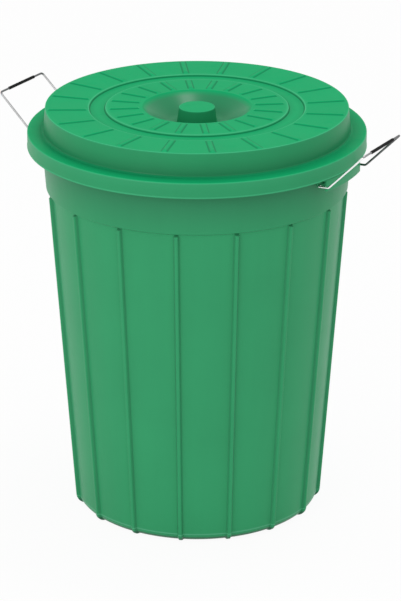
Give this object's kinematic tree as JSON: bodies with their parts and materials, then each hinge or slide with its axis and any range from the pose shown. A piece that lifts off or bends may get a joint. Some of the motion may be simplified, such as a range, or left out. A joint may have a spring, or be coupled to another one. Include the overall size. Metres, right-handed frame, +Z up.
{
  "type": "plastic storage drum",
  "caption": "Tapered ribbed plastic storage drum with a round lift-off lid, sunken centre knob and swinging wire bail handles with black grips.",
  "frame": {"origin": "middle of the foot, on the floor the drum stands on", "axes": "+Z up along the drum's axis; +X from the axis to the right bail; the bails' pins run along Y"},
  "size_m": [0.654, 0.531, 0.6621],
  "materials": {
    "drum_plastic": "satin",
    "lid_plastic": "satin",
    "bright_wire": "bright drawn",
    "black_grip": "satin"
  },
  "bodies": {
    "drum": {"drum_body": "drum_plastic"},
    "lid": {"lid": "lid_plastic"},
    "right_bail": {"right_bail_wire": "bright_wire"},
    "right_grip": {"right_bail_grip": "black_grip"},
    "left_bail": {"left_bail_wire": "bright_wire"},
    "left_grip": {"left_bail_grip": "black_grip"}
  },
  "joints": [
    {"name": "lid_lift", "type": "slide", "parent": "drum", "child": "lid", "axis": [0, 0, 1], "range_m": [0, 0.3]},
    {"name": "right_bail_swing", "type": "hinge", "parent": "drum", "child": "right_bail", "pos_m": [0.2475, 0, 0.5895], "axis": [0, -1, 0], "range_deg": [-131, 30]},
    {"name": "left_bail_swing", "type": "hinge", "parent": "drum", "child": "left_bail", "pos_m": [-0.2475, 0, 0.5895], "axis": [0, 1, 0], "range_deg": [-130, 31]},
    {"name": "right_grip_spin", "type": "hinge", "parent": "right_bail", "child": "right_grip", "pos_m": [0.32405, -0.0033, 0.64865], "axis": [0, 1, 0], "continuous": true},
    {"name": "left_grip_spin", "type": "hinge", "parent": "left_bail", "child": "left_grip", "pos_m": [-0.32497, -0.0033, 0.64744], "axis": [0, 1, 0], "continuous": true}
  ]
}
